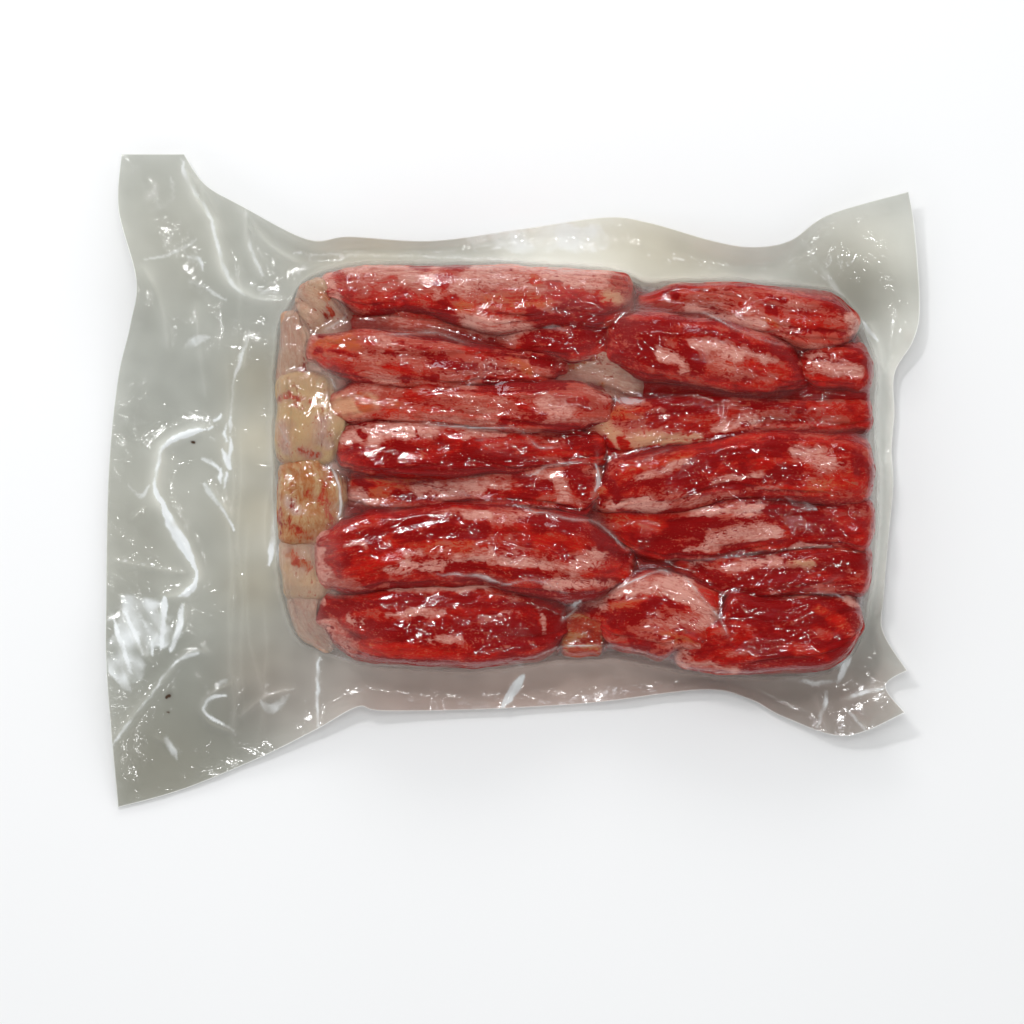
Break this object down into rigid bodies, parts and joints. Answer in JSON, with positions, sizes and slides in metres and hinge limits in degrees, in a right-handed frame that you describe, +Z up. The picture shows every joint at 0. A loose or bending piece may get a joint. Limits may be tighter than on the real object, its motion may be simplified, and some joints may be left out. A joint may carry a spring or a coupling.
{
  "type": "vacuum bag of crab leg meat",
  "caption": "Clear vacuum bag of shelled king crab leg meat, lying flat: two rows of red and pale pieces under tight film, with a wide wrinkled margin of empty bag at its mouth.",
  "frame": {"origin": "the surface that the pack lies on, under the middle of the bag", "axes": "+X from the bag's mouth to its closed end, +Y across the bag, +Z up through the side that the picture shows"},
  "size_m": [0.3101, 0.249, 0.0292],
  "materials": {
    "filled_bag": "glossy clear film drawn tight over wet meat",
    "clear_film": "clear grey-green film, glossy, with a faint haze where both sides lie together",
    "leg_meat": "wet fibrous meat, deep red skin broken into patches over pink and cream flesh",
    "pale_meat": "wet cream and yellow scraps with orange flecks",
    "juice": "cloudy pinkish juice that fills the gaps between the pieces"
  },
  "bodies": {
    "root": {"filled_bag": "filled_bag"}
  },
  "joints": []
}
